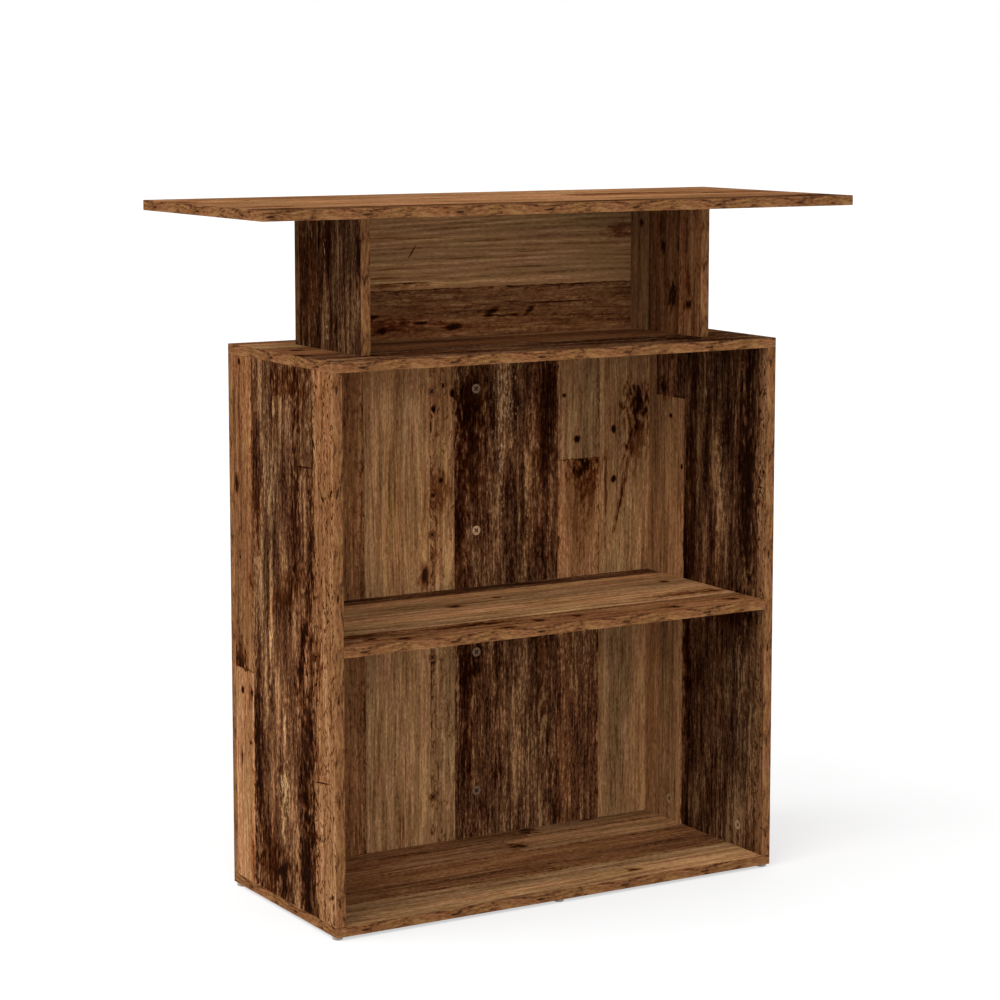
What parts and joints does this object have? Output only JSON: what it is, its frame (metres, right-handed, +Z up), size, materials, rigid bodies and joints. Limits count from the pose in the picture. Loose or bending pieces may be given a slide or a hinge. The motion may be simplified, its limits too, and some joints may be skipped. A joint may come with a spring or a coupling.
{
  "type": "reception desk",
  "caption": "Standing-height reception desk in reclaimed-wood foil boards: a worktop on an open counter box over an open cabinet with a fixed shelf, closed on the visitor's side.",
  "frame": {"origin": "on the floor, under the middle of the desk's bounding box", "axes": "+Z up, +Y towards the visitor's side, where the desk is closed by its back boards; -Y towards the person who works at it, where it is open; +X to the right, seen from the open side"},
  "size_m": [1, 0.4, 1.045],
  "materials": {
    "foil_light": "satin melamine foil with a print of light reclaimed planks, on particleboard",
    "foil_mid": "satin melamine foil with a print of brown reclaimed planks, on particleboard",
    "foil_dark": "satin melamine foil with a print of dark weathered planks, on particleboard",
    "edge_strip": "matte plastic edge strip with a wood print",
    "cam_zinc": "die-cast zinc, dull",
    "steel": "zinc-plated steel",
    "beech": "bare beech",
    "glide_plastic": "grey-brown moulded plastic"
  },
  "bodies": {
    "root": {"worktop": "foil_light", "worktop_long_bands": "edge_strip", "worktop_end_bands": "edge_strip", "counter_left_upright": "foil_dark", "counter_right_upright": "foil_dark", "counter_back_panel": "foil_mid", "left_upright_edge_band": "edge_strip", "right_upright_edge_band": "edge_strip", "counter_back_edge_bands": "edge_strip", "cabinet_top": "foil_mid", "cabinet_top_long_bands": "edge_strip", "cabinet_top_end_bands": "edge_strip", "cabinet_bottom": "foil_mid", "cabinet_bottom_long_bands": "edge_strip", "cabinet_bottom_end_bands": "edge_strip", "left_side_panel": "foil_light", "left_side_edge_band": "edge_strip", "right_side_panel": "foil_dark", "right_side_edge_band": "edge_strip", "middle_shelf": "foil_mid", "shelf_edge_band": "edge_strip", "left_back_board": "foil_light", "left_back_edge_band": "edge_strip", "right_back_board": "foil_mid", "right_back_edge_band": "edge_strip", "left_side_cam_locks": "cam_zinc", "right_side_cam_locks": "cam_zinc", "shelf_cam_locks": "cam_zinc", "left_back_cam_locks": "cam_zinc", "right_back_cam_locks": "cam_zinc", "upright_cam_locks": "cam_zinc", "side_bolts": "steel", "shelf_bolts": "steel", "seam_bolts": "steel", "upright_bolts": "steel", "side_dowels": "beech", "shelf_end_dowels": "beech", "shelf_back_dowels": "beech", "back_end_dowels": "beech", "back_side_dowels": "beech", "upright_end_dowels": "beech", "upright_back_dowels": "beech", "counter_back_dowels": "beech", "foot_glides": "glide_plastic", "glide_nails": "steel"}
  },
  "joints": []
}
